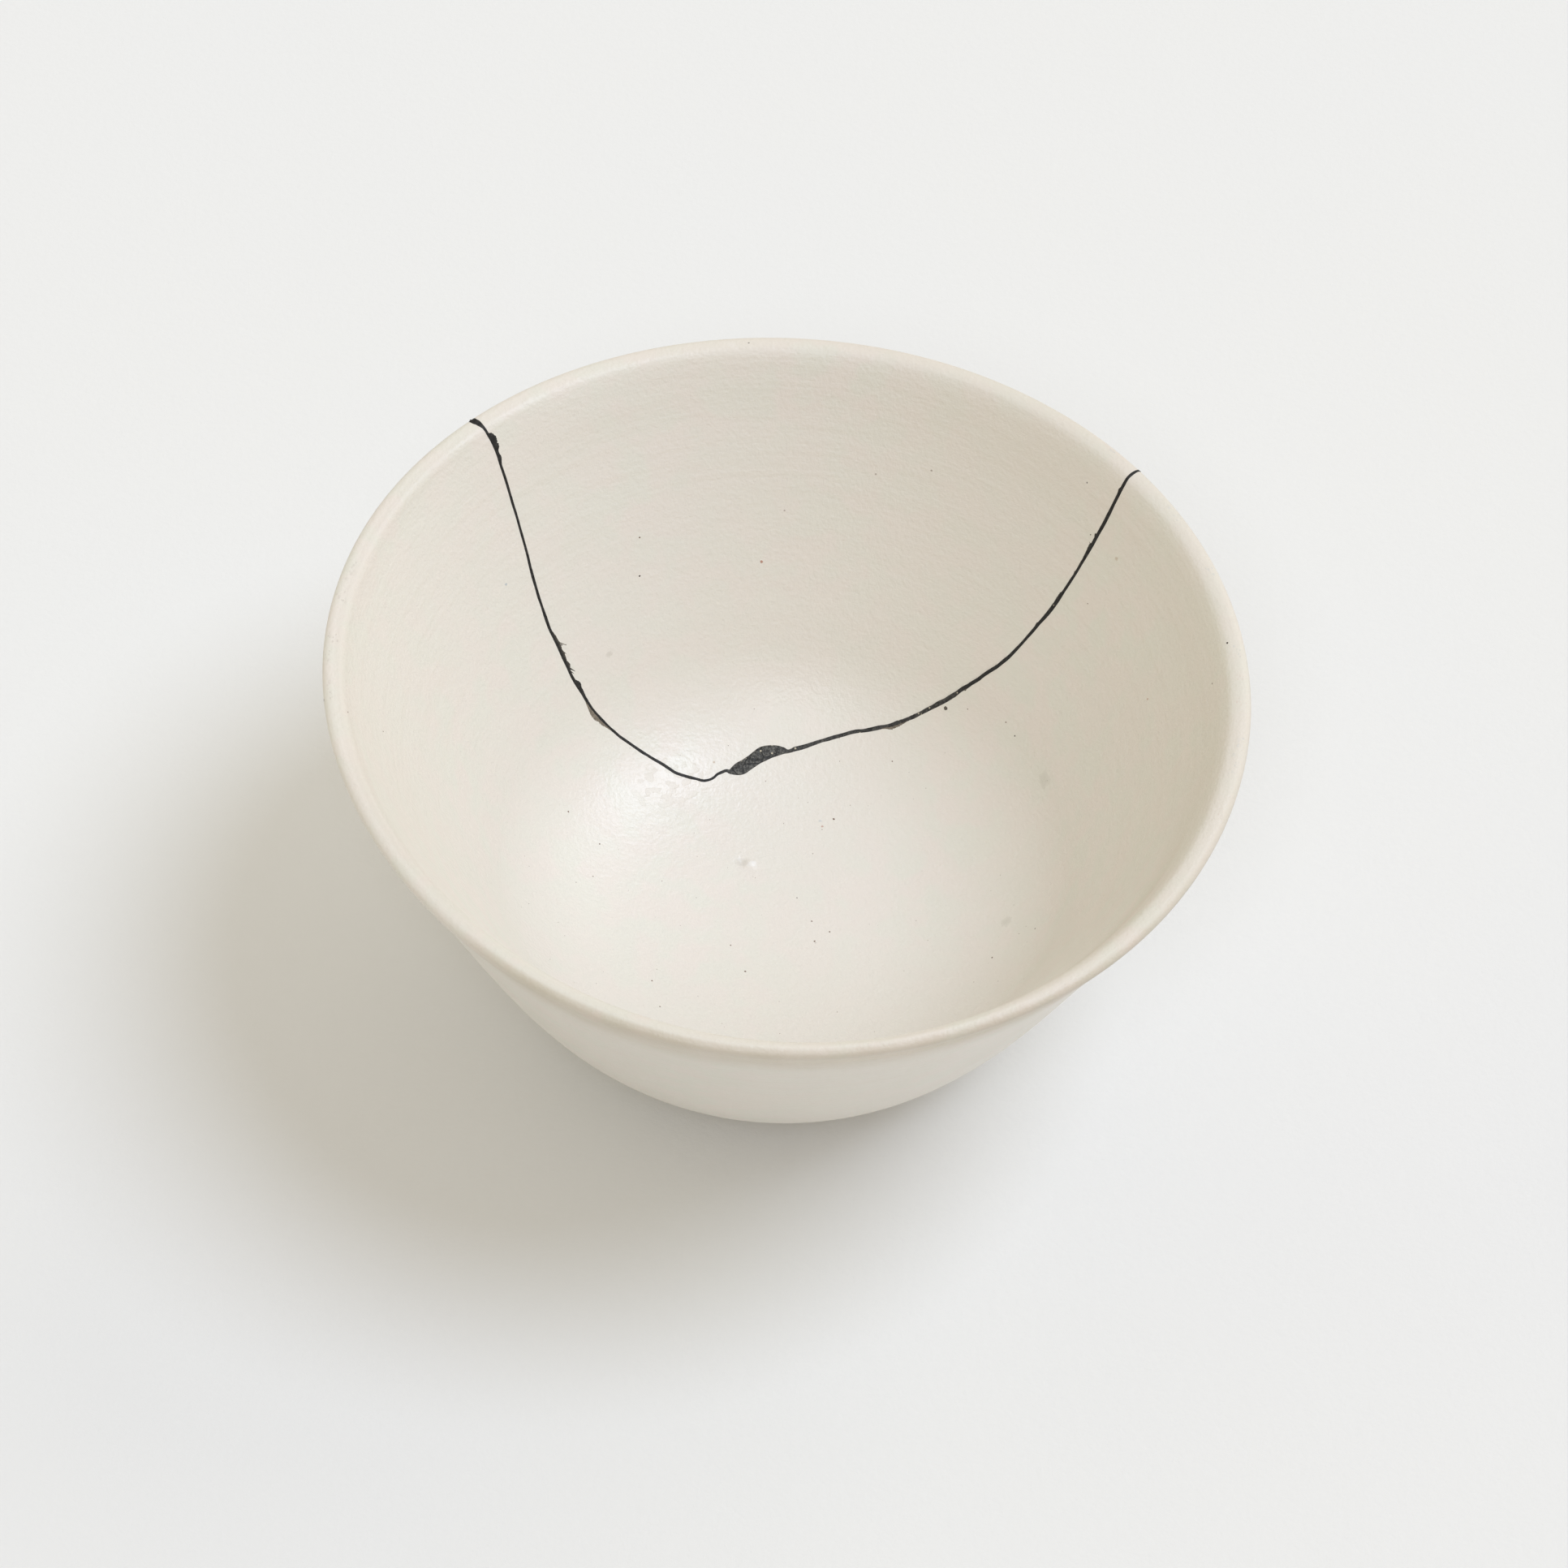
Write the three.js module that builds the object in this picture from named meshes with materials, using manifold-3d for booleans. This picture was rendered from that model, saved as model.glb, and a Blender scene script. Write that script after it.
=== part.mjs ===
import * as THREE from "three";
import { mergeVertices } from "three/addons/utils/BufferGeometryUtils.js";
import Module from "manifold-3d";

// A small wheel-thrown bowl, broken once from rim to rim and mended with a black filler.
// Millimetres, Z up, origin in the middle of the foot's bearing face.
// The break runs across the far side of the bowl, at positive Y, where the near rim is at negative Y.

const wasm = await Module();
wasm.setup();

// Foot ring and floor
const FOOT_RADIUS = 26.5;
const FOOT_INNER_RADIUS = 22.5;
const FOOT_EDGE = 0.6;
const FOOT_TOP = 5.6;
const FOOT_WAIST = 0.4;
const RECESS_HEIGHT = 4.0;
const RECESS_ROUND = 1.0;
const FLOOR_HEIGHT = 9.0;

// Wall, as control points of its curves: radius and height
const OUTER_START = [27.2, 6.3];
const OUTER_BELLY = [43.0, 5.2];
const OUTER_FLARE = [52.7, 36.4];
const OUTER_NECK = [67.2, 63.2];
const INNER_FLOOR = [25.0, FLOOR_HEIGHT];
const INNER_BEND = [37.6, 13.0];
const INNER_HIP = [44.1, 25.8];
const INNER_LOW = [50.2, 37.8];
const INNER_HIGH = [57.8, 52.0];
const INNER_NECK = [64.2, 64.2];

// Rounded lip that flares a little past the wall
const RIM_RADIUS = 70.0;
const RIM_HEIGHT = 68.1;
const LIP_HEIGHT = 66.5;
const LIP_TOP_RADIUS = 68.4;
const LIP_UNDERSIDE = [68.6, 65.0];
const LIP_SHOULDER = [69.5, 67.7];
const LIP_INNER = [66.2, 67.4];

// Slight hand-thrown distortion, growing from the foot to the rim
const OVAL = 1.6;
const OVAL_AZIMUTH = 115;
const RIM_WAVE = 0.55;
const RIM_WAVE_AZIMUTH = 57.5;
const DISTORTION_POWER = 1.5;

// Break in plan, from the left rim to the right rim: x, y and the width of the filler.
// The first and the last point lie past the rim. The wide stretch is where a sliver is missing.
const BREAK_PATH = [
  [-53.0, 55.6, 1.2],
  [-48.6, 50.9, 1.1],
  [-46.8, 49.3, 0.6],
  [-44.4, 46.9, 0.4],
  [-41.6, 42.4, 0.36],
  [-38.8, 37.8, 0.36],
  [-35.7, 33.9, 0.4],
  [-32.1, 31.8, 0.5],
  [-27.6, 30.2, 0.5],
  [-20.5, 28.6, 0.4],
  [-15.6, 26.8, 0.5],
  [-12.0, 26.5, 0.6],
  [-9.4, 28.0, 0.7],
  [-7.1, 28.9, 1.6],
  [-5.2, 30.1, 2.1],
  [-3.4, 31.3, 2.1],
  [-2.0, 31.8, 1.8],
  [-0.6, 32.0, 1.3],
  [0.9, 32.1, 0.6],
  [6.5, 33.6, 0.5],
  [10.4, 34.4, 0.45],
  [17.7, 34.6, 0.36],
  [24.4, 34.7, 0.36],
  [31.9, 34.3, 0.36],
  [36.0, 34.3, 0.4],
  [40.9, 35.5, 0.4],
  [45.0, 37.1, 0.45],
  [48.6, 39.6, 0.5],
  [50.9, 41.3, 0.6],
  [53.3, 43.5, 0.6],
  [58.0, 47.4, 0.6],
];
const BOND_CLEARANCE = 0.02;
const CUTTER_REACH = 95;
const CUTTER_BOTTOM = -5;
const CUTTER_TOP = 80;

// Facets
const TURN_STEPS = 80;
const OUTER_WALL_STEPS = 13;
const INNER_FLOOR_STEPS = 11;
const INNER_WALL_STEPS = 4;
const LIP_STEPS = 12;
const MERGE_DISTANCE = 1e-4;

const glaze = new THREE.MeshStandardMaterial({ color: 0xe3dccd, roughness: 0.62, metalness: 0 });
const filler = new THREE.MeshStandardMaterial({ color: 0x1c1b1a, roughness: 0.4, metalness: 0 });

const point = ([radius, height]) => new THREE.Vector2(radius, height);

// Points of a cubic curve through two ends, with both ends included
function curve(start, startPull, endPull, end, steps) {
  const bend = new THREE.CubicBezierCurve(point(start), point(startPull), point(endPull), point(end));
  return bend.getPoints(steps);
}

// Points of a spline through each given point
function spline(places, steps) {
  return new THREE.SplineCurve(places.map(point)).getPoints(steps);
}

function footProfile() {
  return [
    [0, RECESS_HEIGHT],
    [FOOT_INNER_RADIUS - FOOT_EDGE - RECESS_ROUND, RECESS_HEIGHT],
    [FOOT_INNER_RADIUS - FOOT_EDGE, RECESS_HEIGHT - RECESS_ROUND],
    [FOOT_INNER_RADIUS - FOOT_EDGE / 2, FOOT_EDGE],
    [FOOT_INNER_RADIUS, 0],
    [FOOT_RADIUS - FOOT_EDGE, 0],
    [FOOT_RADIUS, FOOT_EDGE],
    [FOOT_RADIUS - FOOT_WAIST, FOOT_TOP],
  ].map(point);
}

function lipProfile() {
  const outerFace = [RIM_RADIUS, LIP_HEIGHT];
  const crown = [LIP_TOP_RADIUS, RIM_HEIGHT];
  const bends = [OUTER_NECK, LIP_UNDERSIDE, outerFace, LIP_SHOULDER, crown, LIP_INNER, INNER_NECK];
  return spline(bends, LIP_STEPS);
}

function innerProfile() {
  const wall = curve(INNER_NECK, INNER_HIGH, INNER_LOW, INNER_HIP, INNER_WALL_STEPS);
  const floor = curve(INNER_HIP, INNER_BEND, INNER_FLOOR, [0, FLOOR_HEIGHT], INNER_FLOOR_STEPS);
  return [...wall.slice(1), ...floor.slice(1)];
}

function bowlProfile() {
  const outerWall = curve(OUTER_START, OUTER_BELLY, OUTER_FLARE, OUTER_NECK, OUTER_WALL_STEPS);
  return [...footProfile(), ...outerWall, ...lipProfile().slice(1), ...innerProfile()];
}

// Moves the vertices of a round bowl to the slightly uneven form of the real one
function distort(geometry) {
  const places = geometry.attributes.position;
  const vertex = new THREE.Vector3();
  for (let i = 0; i < places.count; i++) {
    vertex.fromBufferAttribute(places, i);
    const turn = Math.atan2(vertex.y, vertex.x);
    const rise = Math.max(vertex.z / RIM_HEIGHT, 0) ** DISTORTION_POWER;
    const share = (rise * Math.hypot(vertex.x, vertex.y)) / RIM_RADIUS;
    const oval = OVAL * Math.cos(2 * (turn - THREE.MathUtils.degToRad(OVAL_AZIMUTH)));
    const wave = RIM_WAVE * Math.cos(2 * (turn - THREE.MathUtils.degToRad(RIM_WAVE_AZIMUTH)));
    vertex.x += oval * share * Math.cos(turn);
    vertex.y += oval * share * Math.sin(turn);
    vertex.z += wave * share;
    places.setXYZ(i, vertex.x, vertex.y, vertex.z);
  }
  return geometry;
}

// A closed geometry as a solid for the cuts
function solidOf(geometry) {
  const bare = new THREE.BufferGeometry();
  bare.setAttribute("position", geometry.attributes.position);
  bare.setIndex(geometry.index);
  const merged = mergeVertices(bare, MERGE_DISTANCE);
  return new wasm.Manifold(
    new wasm.Mesh({
      numProp: 3,
      vertProperties: merged.attributes.position.array,
      triVerts: new Uint32Array(merged.index.array),
    }),
  );
}

function wholeBowl() {
  const round = new THREE.LatheGeometry(bowlProfile(), TURN_STEPS);
  round.rotateX(Math.PI / 2);
  return solidOf(distort(round));
}

// The break path moved sideways, by a share of the filler's width and a fixed distance.
// Positive values move it towards the shard.
function shiftedPath(widthShare, distance) {
  return BREAK_PATH.map(([x, y, width], i) => {
    const [beforeX, beforeY] = BREAK_PATH[Math.max(i - 1, 0)];
    const [afterX, afterY] = BREAK_PATH[Math.min(i + 1, BREAK_PATH.length - 1)];
    const along = new THREE.Vector2(afterX - beforeX, afterY - beforeY).normalize();
    const shift = width * widthShare + distance;
    return new THREE.Vector2(x - along.y * shift, y + along.x * shift);
  });
}

// An upright prism through the whole height of the bowl
function prism(outline) {
  const shape = new THREE.Shape(outline);
  const height = CUTTER_TOP - CUTTER_BOTTOM;
  const block = new THREE.ExtrudeGeometry(shape, { depth: height, bevelEnabled: false });
  block.translate(0, 0, CUTTER_BOTTOM);
  return solidOf(block);
}

// Everything on the shard's side of a path
function farSide(path) {
  const corners = [
    [CUTTER_REACH, path.at(-1).y],
    [CUTTER_REACH, CUTTER_REACH],
    [-CUTTER_REACH, CUTTER_REACH],
    [-CUTTER_REACH, path[0].y],
  ];
  return prism([...path, ...corners.map(point)]);
}

function ribbon() {
  const bodySide = shiftedPath(-0.5, BOND_CLEARANCE);
  const shardSide = shiftedPath(0.5, -BOND_CLEARANCE);
  return prism([...bodySide, ...shardSide.reverse()]);
}

function meshOf(name, solid, material) {
  const { numProp, vertProperties, triVerts } = solid.getMesh();
  const geometry = new THREE.BufferGeometry();
  const buffer = new THREE.InterleavedBuffer(vertProperties, numProp);
  geometry.setAttribute("position", new THREE.InterleavedBufferAttribute(buffer, 3, 0));
  geometry.setIndex(new THREE.BufferAttribute(triVerts, 1));
  const mesh = new THREE.Mesh(geometry.toNonIndexed(), material);
  mesh.name = name;
  return mesh;
}

const bowl = wholeBowl();
const group = new THREE.Group();
group.add(
  meshOf("bowl_body", bowl.subtract(farSide(shiftedPath(-0.5, 0))), glaze),
  meshOf("rejoined_shard", bowl.intersect(farSide(shiftedPath(0.5, 0))), glaze),
  meshOf("black_mend_seam", bowl.intersect(ribbon()), filler),
);

export default group;
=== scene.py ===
import math

import bpy
import numpy as np
from mathutils import Matrix, Vector


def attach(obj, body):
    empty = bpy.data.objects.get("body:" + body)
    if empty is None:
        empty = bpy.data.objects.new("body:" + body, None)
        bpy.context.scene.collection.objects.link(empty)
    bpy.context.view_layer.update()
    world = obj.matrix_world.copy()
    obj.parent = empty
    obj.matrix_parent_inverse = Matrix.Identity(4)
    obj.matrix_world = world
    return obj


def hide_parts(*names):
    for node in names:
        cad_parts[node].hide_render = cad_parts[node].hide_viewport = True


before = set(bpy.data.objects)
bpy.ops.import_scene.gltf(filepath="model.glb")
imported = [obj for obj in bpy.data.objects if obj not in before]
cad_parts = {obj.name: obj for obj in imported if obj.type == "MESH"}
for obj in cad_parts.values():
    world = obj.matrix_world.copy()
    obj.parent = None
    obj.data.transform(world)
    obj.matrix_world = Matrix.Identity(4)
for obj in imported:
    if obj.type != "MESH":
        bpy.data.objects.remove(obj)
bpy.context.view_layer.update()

# Sizes are millimetres in the frame's axes until a mesh is made. Meshes and materials hold metres.
MM = 0.001
TINY = 1e-9

# Foot ring and floor
FOOT_RADIUS = 26.5
FOOT_INNER_RADIUS = 22.5
FOOT_EDGE = 0.6
FOOT_TOP = 5.6
FOOT_BEND = (26.4, 6.0)
FOOT_WAIST = 0.4
FOOT_WAIST_DROP = 0.4
RECESS_HEIGHT = 4.0
RECESS_ROUND = 1.0
FLOOR_HEIGHT = 9.0

# Wall, as control points of its curves: radius and height
OUTER_START = (27.2, 6.3)
OUTER_BELLY = (43.5, 3.6)
OUTER_FLARE = (53.2, 36.2)
OUTER_NECK = (67.7, 63.2)
INNER_FLOOR = (25.0, FLOOR_HEIGHT)
INNER_BEND = (37.6, 13.0)
INNER_HIP = (44.1, 25.8)
INNER_LOW = (50.2, 37.8)
INNER_HIGH = (58.2, 52.0)
INNER_NECK = (64.8, 64.2)

# Rounded lip
RIM_RADIUS = 70.0
RIM_HEIGHT = 68.1
LIP_HEIGHT = 67.15
LIP_TOP_RADIUS = 68.4
LIP_UNDERSIDE = (69.3, 65.4)
LIP_SHOULDER = (69.5, 67.92)
LIP_INNER = (67.1, 67.75)
LIP_ROLL = (65.95, 66.3)

# Slight hand-thrown distortion, growing from the foot to the rim: turns, size and azimuth in degrees
OVAL = (2, 1.6, 115.0)
LOBE = (3, 0.55, 28.5)
RIM_WAVE = (2, 0.55, 57.5)
DISTORTION_POWER = 1.5
UNDO_ROUNDS = 3
# Where the lip is drawn in a little at the front: how far, azimuth and reach in degrees
LIP_DRAWN_IN = [(0.30, -110.0, 45.0), (0.73, -70.0, 26.0)]
# Radius and height where that begins, each with the length over which it grows
DRAWN_IN_RADIUS = (67.4, 1.6)
DRAWN_IN_HEIGHT = (62.0, 3.0)

# Unevenness of the surface: waves round the bowl, with their turns and the limits of their twist along
# the section and of their size, and fine rings
UNEVEN_HEIGHT = 0.11
WAVE_TURNS = (2, 3, 3, 4, 5, 6, 7, 9)
WAVE_TWISTS = (0.02, 0.09)
WAVE_SIZES = (0.3, 1)
FINE_RING_HEIGHT = 0.008
FINE_RING_LENGTHS = (1.1, 0.83)
FINE_RING_SWAY = 0.6
# The surface is calm in the middle and under the foot, and grows uneven over these lengths
CALM_RADIUS = (0.0, 15.0)
CALM_HEIGHT = (0.5, 8.0)

# Pit in the floor's glaze, with a small raised spot beside it: x, y, radius, height
DIMPLE = (-6.1, 12.6, 0.95, -0.48)
DIMPLE_SPOT = (-4.6, 12.3, 0.80, 0.26)
DIMPLE_FALL = 1.5
DIMPLE_REACH = 3

# Mesh fineness: steps round the bowl and along its curves, and spacing of the rings. Edges sharper
# than an angle in degrees stay sharp.
TURN_STEPS = 372
CURVE_STEPS = 200
FOOT_CURVE_STEPS = 12
ARC_STEPS = 6
RING_STEP = 1.05
LIP_STEP = 0.33
DIMPLE_STEP = 0.4
FOOT_STEP = 0.4
SHARP_ANGLE = 50

# Break in plan, from the left rim to the right rim: x, y, and the filler's width to the body's side
# and to the shard's side of that line.
BREAK_PATH = [
    (-53.0, 55.6, 0.60, 0.55),
    (-49.2, 51.4, 0.62, 0.55),
    (-48.4, 50.8, 0.55, 0.50),
    (-47.5, 50.0, 0.30, 0.30),
    (-46.8, 49.4, 0.22, 0.24),
    (-45.2, 48.0, 0.22, 0.23),
    (-43.15, 45.1, 0.22, 0.23),
    (-41.4, 42.3, 0.22, 0.23),
    (-39.2, 38.3, 0.24, 0.25),
    (-37.2, 35.6, 0.27, 0.27),
    (-35.5, 34.1, 0.26, 0.26),
    (-33.6, 32.6, 0.26, 0.26),
    (-31.9, 31.8, 0.26, 0.24),
    (-29.8, 30.85, 0.25, 0.22),
    (-26.3, 29.85, 0.21, 0.19),
    (-22.0, 28.7, 0.22, 0.21),
    (-18.6, 27.7, 0.24, 0.23),
    (-17.0, 27.0, 0.24, 0.23),
    (-15.4, 26.7, 0.23, 0.22),
    (-13.8, 26.55, 0.23, 0.22),
    (-12.4, 26.4, 0.22, 0.21),
    (-11.5, 26.7, 0.19, 0.19),
    (-10.9, 27.15, 0.18, 0.18),
    (-10.4, 27.7, 0.18, 0.18),
    (-9.6, 28.15, 0.19, 0.19),
    (-9.0, 28.38, 0.23, 0.23),
    (-8.4, 28.3, 0.38, 0.36),
    (-7.45, 28.7, 0.88, 0.84),
    (-6.7, 29.1, 1.05, 1.03),
    (-5.9, 29.62, 1.00, 0.98),
    (-5.05, 30.25, 0.97, 0.99),
    (-4.15, 30.87, 1.02, 1.05),
    (-3.3, 31.4, 1.10, 1.12),
    (-2.15, 31.8, 0.97, 0.99),
    (-1.0, 32.02, 0.77, 0.79),
    (-0.1, 32.07, 0.50, 0.50),
    (0.65, 31.98, 0.28, 0.28),
    (1.8, 32.27, 0.34, 0.34),
    (3.1, 32.65, 0.34, 0.32),
    (4.5, 33.05, 0.29, 0.26),
    (6.4, 33.5, 0.25, 0.24),
    (9.0, 34.05, 0.27, 0.26),
    (10.9, 34.3, 0.27, 0.25),
    (13.7, 34.35, 0.25, 0.23),
    (17.7, 34.5, 0.28, 0.24),
    (20.8, 34.7, 0.25, 0.24),
    (24.4, 34.85, 0.29, 0.28),
    (29.4, 34.6, 0.23, 0.22),
    (33.1, 34.3, 0.22, 0.21),
    (36.0, 34.4, 0.21, 0.21),
    (40.9, 35.5, 0.32, 0.32),
    (44.0, 36.7, 0.25, 0.24),
    (46.5, 38.2, 0.30, 0.30),
    (48.5, 39.6, 0.32, 0.32),
    (50.65, 41.4, 0.28, 0.28),
    (52.9, 43.5, 0.23, 0.23),
    (57.6, 47.4, 0.19, 0.19),
]
BODY_WIDTH, SHARD_WIDTH = 2, 3
BREAK_CURVE_STEPS = 1200
BREAK_STEP = 0.2
# How far the line and its widths stray, and over what length
BREAK_JITTER = 0.05
JITTER_LENGTH = 2.2
WIDTH_JITTER = 0.05
WIDTH_JITTER_LENGTH = 0.9
# Upright block that cuts the bowl along the break
CUTTER_BACK = 95.0
CUTTER_BOTTOM = -5.0
CUTTER_TOP = 80.0

# Low bead of the filler on both faces of the wall
BEAD_LAP = 0.03
BEAD_HEIGHT = 0.07
BEAD_SINK = 0.04
BEAD_GRAIN = 0.05
BEAD_FULL_WIDTH = 0.8
BEAD_COLUMNS = 11
BEAD_RIM_MARGIN = 0.03
# Where the filler holds grit, as x along the break: the wide patch, and the line beside it
GRITTY = (-9.0, 0.6)
GRITTY_LINE = (0.6, 27.0)
GRITTY_LINE_SHARE = 0.55

# Filler smeared over the glaze beside the line: side, brown haze, and how far it reaches out from the
# line's edge at places along x
SHARD_SIDE, BODY_SIDE = 1, -1
FRINGES = [
    (SHARD_SIDE, 0.0, [
        (-46.75, 0.0), (-46.6, 0.55), (-46.4, 0.95), (-46.08, 1.15), (-45.83, 0.85), (-45.6, 1.15),
        (-45.47, 0.40), (-45.3, 0.22), (-45.1, 0.45), (-44.9, 0.30), (-44.7, 0.0),
    ]),
    (SHARD_SIDE, 0.15, [
        (-36.7, 0.0), (-36.2, 0.42), (-35.95, 0.32), (-35.7, 0.50), (-35.5, 0.42), (-35.22, 0.28),
        (-34.95, 0.55), (-34.75, 0.34), (-34.45, 0.18), (-34.1, 0.52), (-33.8, 0.0),
    ]),
    (SHARD_SIDE, 0.0, [
        (-32.95, 0.0), (-32.68, 0.34), (-32.4, 0.60), (-32.2, 0.48), (-32.1, 0.22), (-31.9, 0.20),
        (-31.4, 0.0),
    ]),
    (BODY_SIDE, 0.75, [
        (-31.2, 0.0), (-30.5, 0.45), (-30.1, 0.75), (-29.66, 0.95), (-29.3, 0.65), (-29.0, 0.50),
        (-28.7, 0.52), (-28.36, 0.38), (-27.9, 0.20), (-27.2, 0.0),
    ]),
    (BODY_SIDE, 0.6, [
        (15.4, 0.0), (16.3, 0.24), (16.9, 0.42), (17.4, 0.34), (17.9, 0.30), (19.2, 0.0),
    ]),
    (SHARD_SIDE, 0.1, [(38.4, 0.0), (38.7, 0.16), (38.9, 0.0)]),
    (SHARD_SIDE, 0.1, [(41.2, 0.0), (41.6, 0.16), (42.1, 0.22), (42.3, 0.0)]),
    (SHARD_SIDE, 0.1, [
        (44.0, 0.0), (44.15, 0.18), (44.3, 0.02), (45.0, 0.14), (45.2, 0.03), (45.9, 0.16),
        (46.35, 0.32), (46.5, 0.02), (46.95, 0.03), (47.1, 0.32), (47.25, 0.0),
    ]),
    (SHARD_SIDE, 0.2, [(50.1, 0.0), (50.35, 0.22), (50.5, 0.0)]),
    (BODY_SIDE, 0.4, [(28.0, 0.0), (28.2, 0.16), (28.4, 0.0)]),
]
FRINGE_STEP = 0.07
FRINGE_LEAST_STEPS = 6
FRINGE_COLUMNS = 5
FRINGE_HEIGHT = 0.05
FRINGE_RAGGED = 0.3
FRINGE_LEAST_WIDTH = 0.02
FRINGE_LAP = 0.06
# Thin whiskers of filler: first place, last place, width at the first, brown haze
WHISKERS = [
    (-35.40, 34.65, -34.46, 34.97, 0.12, 0.5),
    (-35.30, 34.50, -34.90, 34.70, 0.16, 0.3),
    (-34.20, 32.95, -32.92, 33.21, 0.30, 0.1),
    (-34.00, 32.80, -33.15, 32.87, 0.24, 0.1),
    (-35.10, 34.00, -34.35, 34.16, 0.22, 0.5),
    (-32.60, 32.10, -32.02, 32.42, 0.16, 0.0),
    (-29.90, 30.90, -30.35, 30.25, 0.14, 0.8),
    (-29.60, 30.80, -29.80, 29.95, 0.16, 0.9),
    (-29.20, 30.60, -29.05, 29.90, 0.14, 0.9),
    (-28.80, 30.50, -28.55, 29.90, 0.12, 0.8),
    (16.60, 34.40, 16.75, 33.85, 0.12, 0.8),
    (17.20, 34.40, 17.45, 33.95, 0.12, 0.8),
    (47.05, 38.60, 46.85, 39.15, 0.14, 0.1),
    (46.35, 38.10, 46.10, 38.75, 0.16, 0.2),
]
WHISKER_STEPS = 6
WHISKER_HEIGHT = 0.04
WHISKER_SINK = 0.01
WHISKER_TIP = 0.025
# Drops of filler: x, y, radius, brown haze
DROPS = [
    (25.2, 34.0, 0.40, 0.3),
    (-34.42, 34.99, 0.11, 0.4),
    (41.1, 35.55, 0.24, 1.3),
    (46.2, 39.4, 0.12, 0.5),
]
DROP_HEIGHT = 0.11
DROP_NARROWING = 0.85
DROP_STEPS = 14
DROP_RINGS = 4
# Edge of a mound on the glaze: how deep it sinks in, and how ragged it is
PATCH_SINK = 0.03
PATCH_RAGGED = 0.2

# Colours of the marks in the glaze
IRON = (0.13, 0.06, 0.025)
IRON_DARK = (0.05, 0.035, 0.025)
REDDISH = (0.42, 0.16, 0.09)
BLUISH = (0.40, 0.46, 0.50)
SMUDGE = (0.36, 0.33, 0.26)
ROSE = (0.60, 0.40, 0.33)
GREY_ROSE = (0.48, 0.42, 0.38)
# Pale tone of the painted highlights
PAINTED_HIGHLIGHT = (0.90, 0.885, 0.86)
TAN = (0.52, 0.40, 0.28)
# Marks in the glaze and two painted highlights: x, y, radius, how strong, colour
MARKS = [
    (-23.4, 49.2, 0.17, 0.8, IRON),
    (-23.3, 45.9, 0.18, 1.0, IRON_DARK),
    (-4.3, 50.4, 0.26, 0.7, REDDISH),
    (8.1, 20.9, 0.20, 0.95, IRON),
    (6.3, 19.6, 0.22, 0.5, REDDISH),
    (6.0, 20.6, 0.34, 0.35, BLUISH),
    (-5.1, -9.1, 0.19, 1.0, IRON),
    (32.8, -9.7, 0.18, 0.9, IRON),
    (-33.4, 15.8, 0.18, 0.8, IRON),
    (-28.4, 12.3, 0.15, 0.8, IRON),
    (65.8, 9.2, 0.22, 1.0, IRON_DARK),
    (55.0, 13.1, 0.24, 0.5, REDDISH),
    (63.7, 4.4, 0.16, 0.7, IRON),
    (50.1, 34.4, 0.42, 0.55, TAN),
    (46.1, 32.5, 0.14, 0.7, IRON),
    (28.6, 32.5, 0.13, 0.8, IRON),
    (34.5, 28.0, 0.14, 0.8, IRON),
    (35.9, 25.7, 0.16, 0.9, IRON_DARK),
    (17.1, 29.5, 0.14, 0.8, IRON),
    (45.4, 44.8, 0.14, 0.8, IRON_DARK),
    (39.2, -7.5, 0.16, 0.7, IRON),
    (5.0, 1.4, 0.17, 0.6, IRON),
    (7.8, -0.7, 0.15, 0.8, IRON),
    (5.5, -2.6, 0.17, 0.8, IRON),
    (-7.5, -3.9, 0.14, 0.9, IRON),
    (-19.4, -12.7, 0.16, 0.8, IRON),
    (-18.0, -18.2, 0.15, 0.7, IRON),
    (2.6, 6.0, 0.13, 0.7, IRON_DARK),
    (-6.0, 12.6, 0.20, 0.8, IRON_DARK),
    # Painted highlight on the raised spot beside the pit
    (-4.6, 12.3, 0.85, 0.65, PAINTED_HIGHLIGHT),
    (-6.4, 12.8, 1.10, 0.20, SMUDGE),
    (-29.2, 6.1, 0.13, 0.6, IRON),
    (40.9, 16.7, 0.15, 0.9, IRON_DARK),
    (40.5, 17.2, 1.60, 0.16, SMUDGE),
    (35.0, -2.9, 1.20, 0.18, SMUDGE),
    (-27.8, 37.3, 0.70, 0.22, SMUDGE),
    (-43.6, 35.8, 0.26, 0.6, BLUISH),
    (-11.0, 29.5, 0.24, 0.60, TAN),
    (21.8, 55.1, 0.20, 0.5, IRON),
    (13.2, 56.5, 0.20, 0.4, IRON),
    (-0.9, 54.6, 0.18, 0.4, IRON),
    (-64.6, -8.2, 0.16, 0.7, IRON),
    (-60.0, -3.0, 0.14, 0.8, IRON),
    (-68.3, -6.0, 0.30, 0.9, IRON_DARK),
    (-7.1, 68.7, 0.16, 0.6, IRON_DARK),
    # Painted highlight on the back of the rim
    (-9.8, 68.3, 0.80, 0.15, PAINTED_HIGHLIGHT),
]
# A mark fades at its edge, so its patch is longer and stronger than the mark, and of varied width
MARK_LENGTHENING = 1.35
MARK_WIDENING = (1.05, 1.35)
MARK_STRENGTHENING = 1.15
MARK_HEIGHT = 0.012
# Patches shorter and longer than the limit: steps round, rings, and how sharply they fade
SMALL_MARK = 0.4
SMALL_PATCH = (10, 3, 4.0)
LARGE_PATCH = (16, 5, 1.3)
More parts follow.
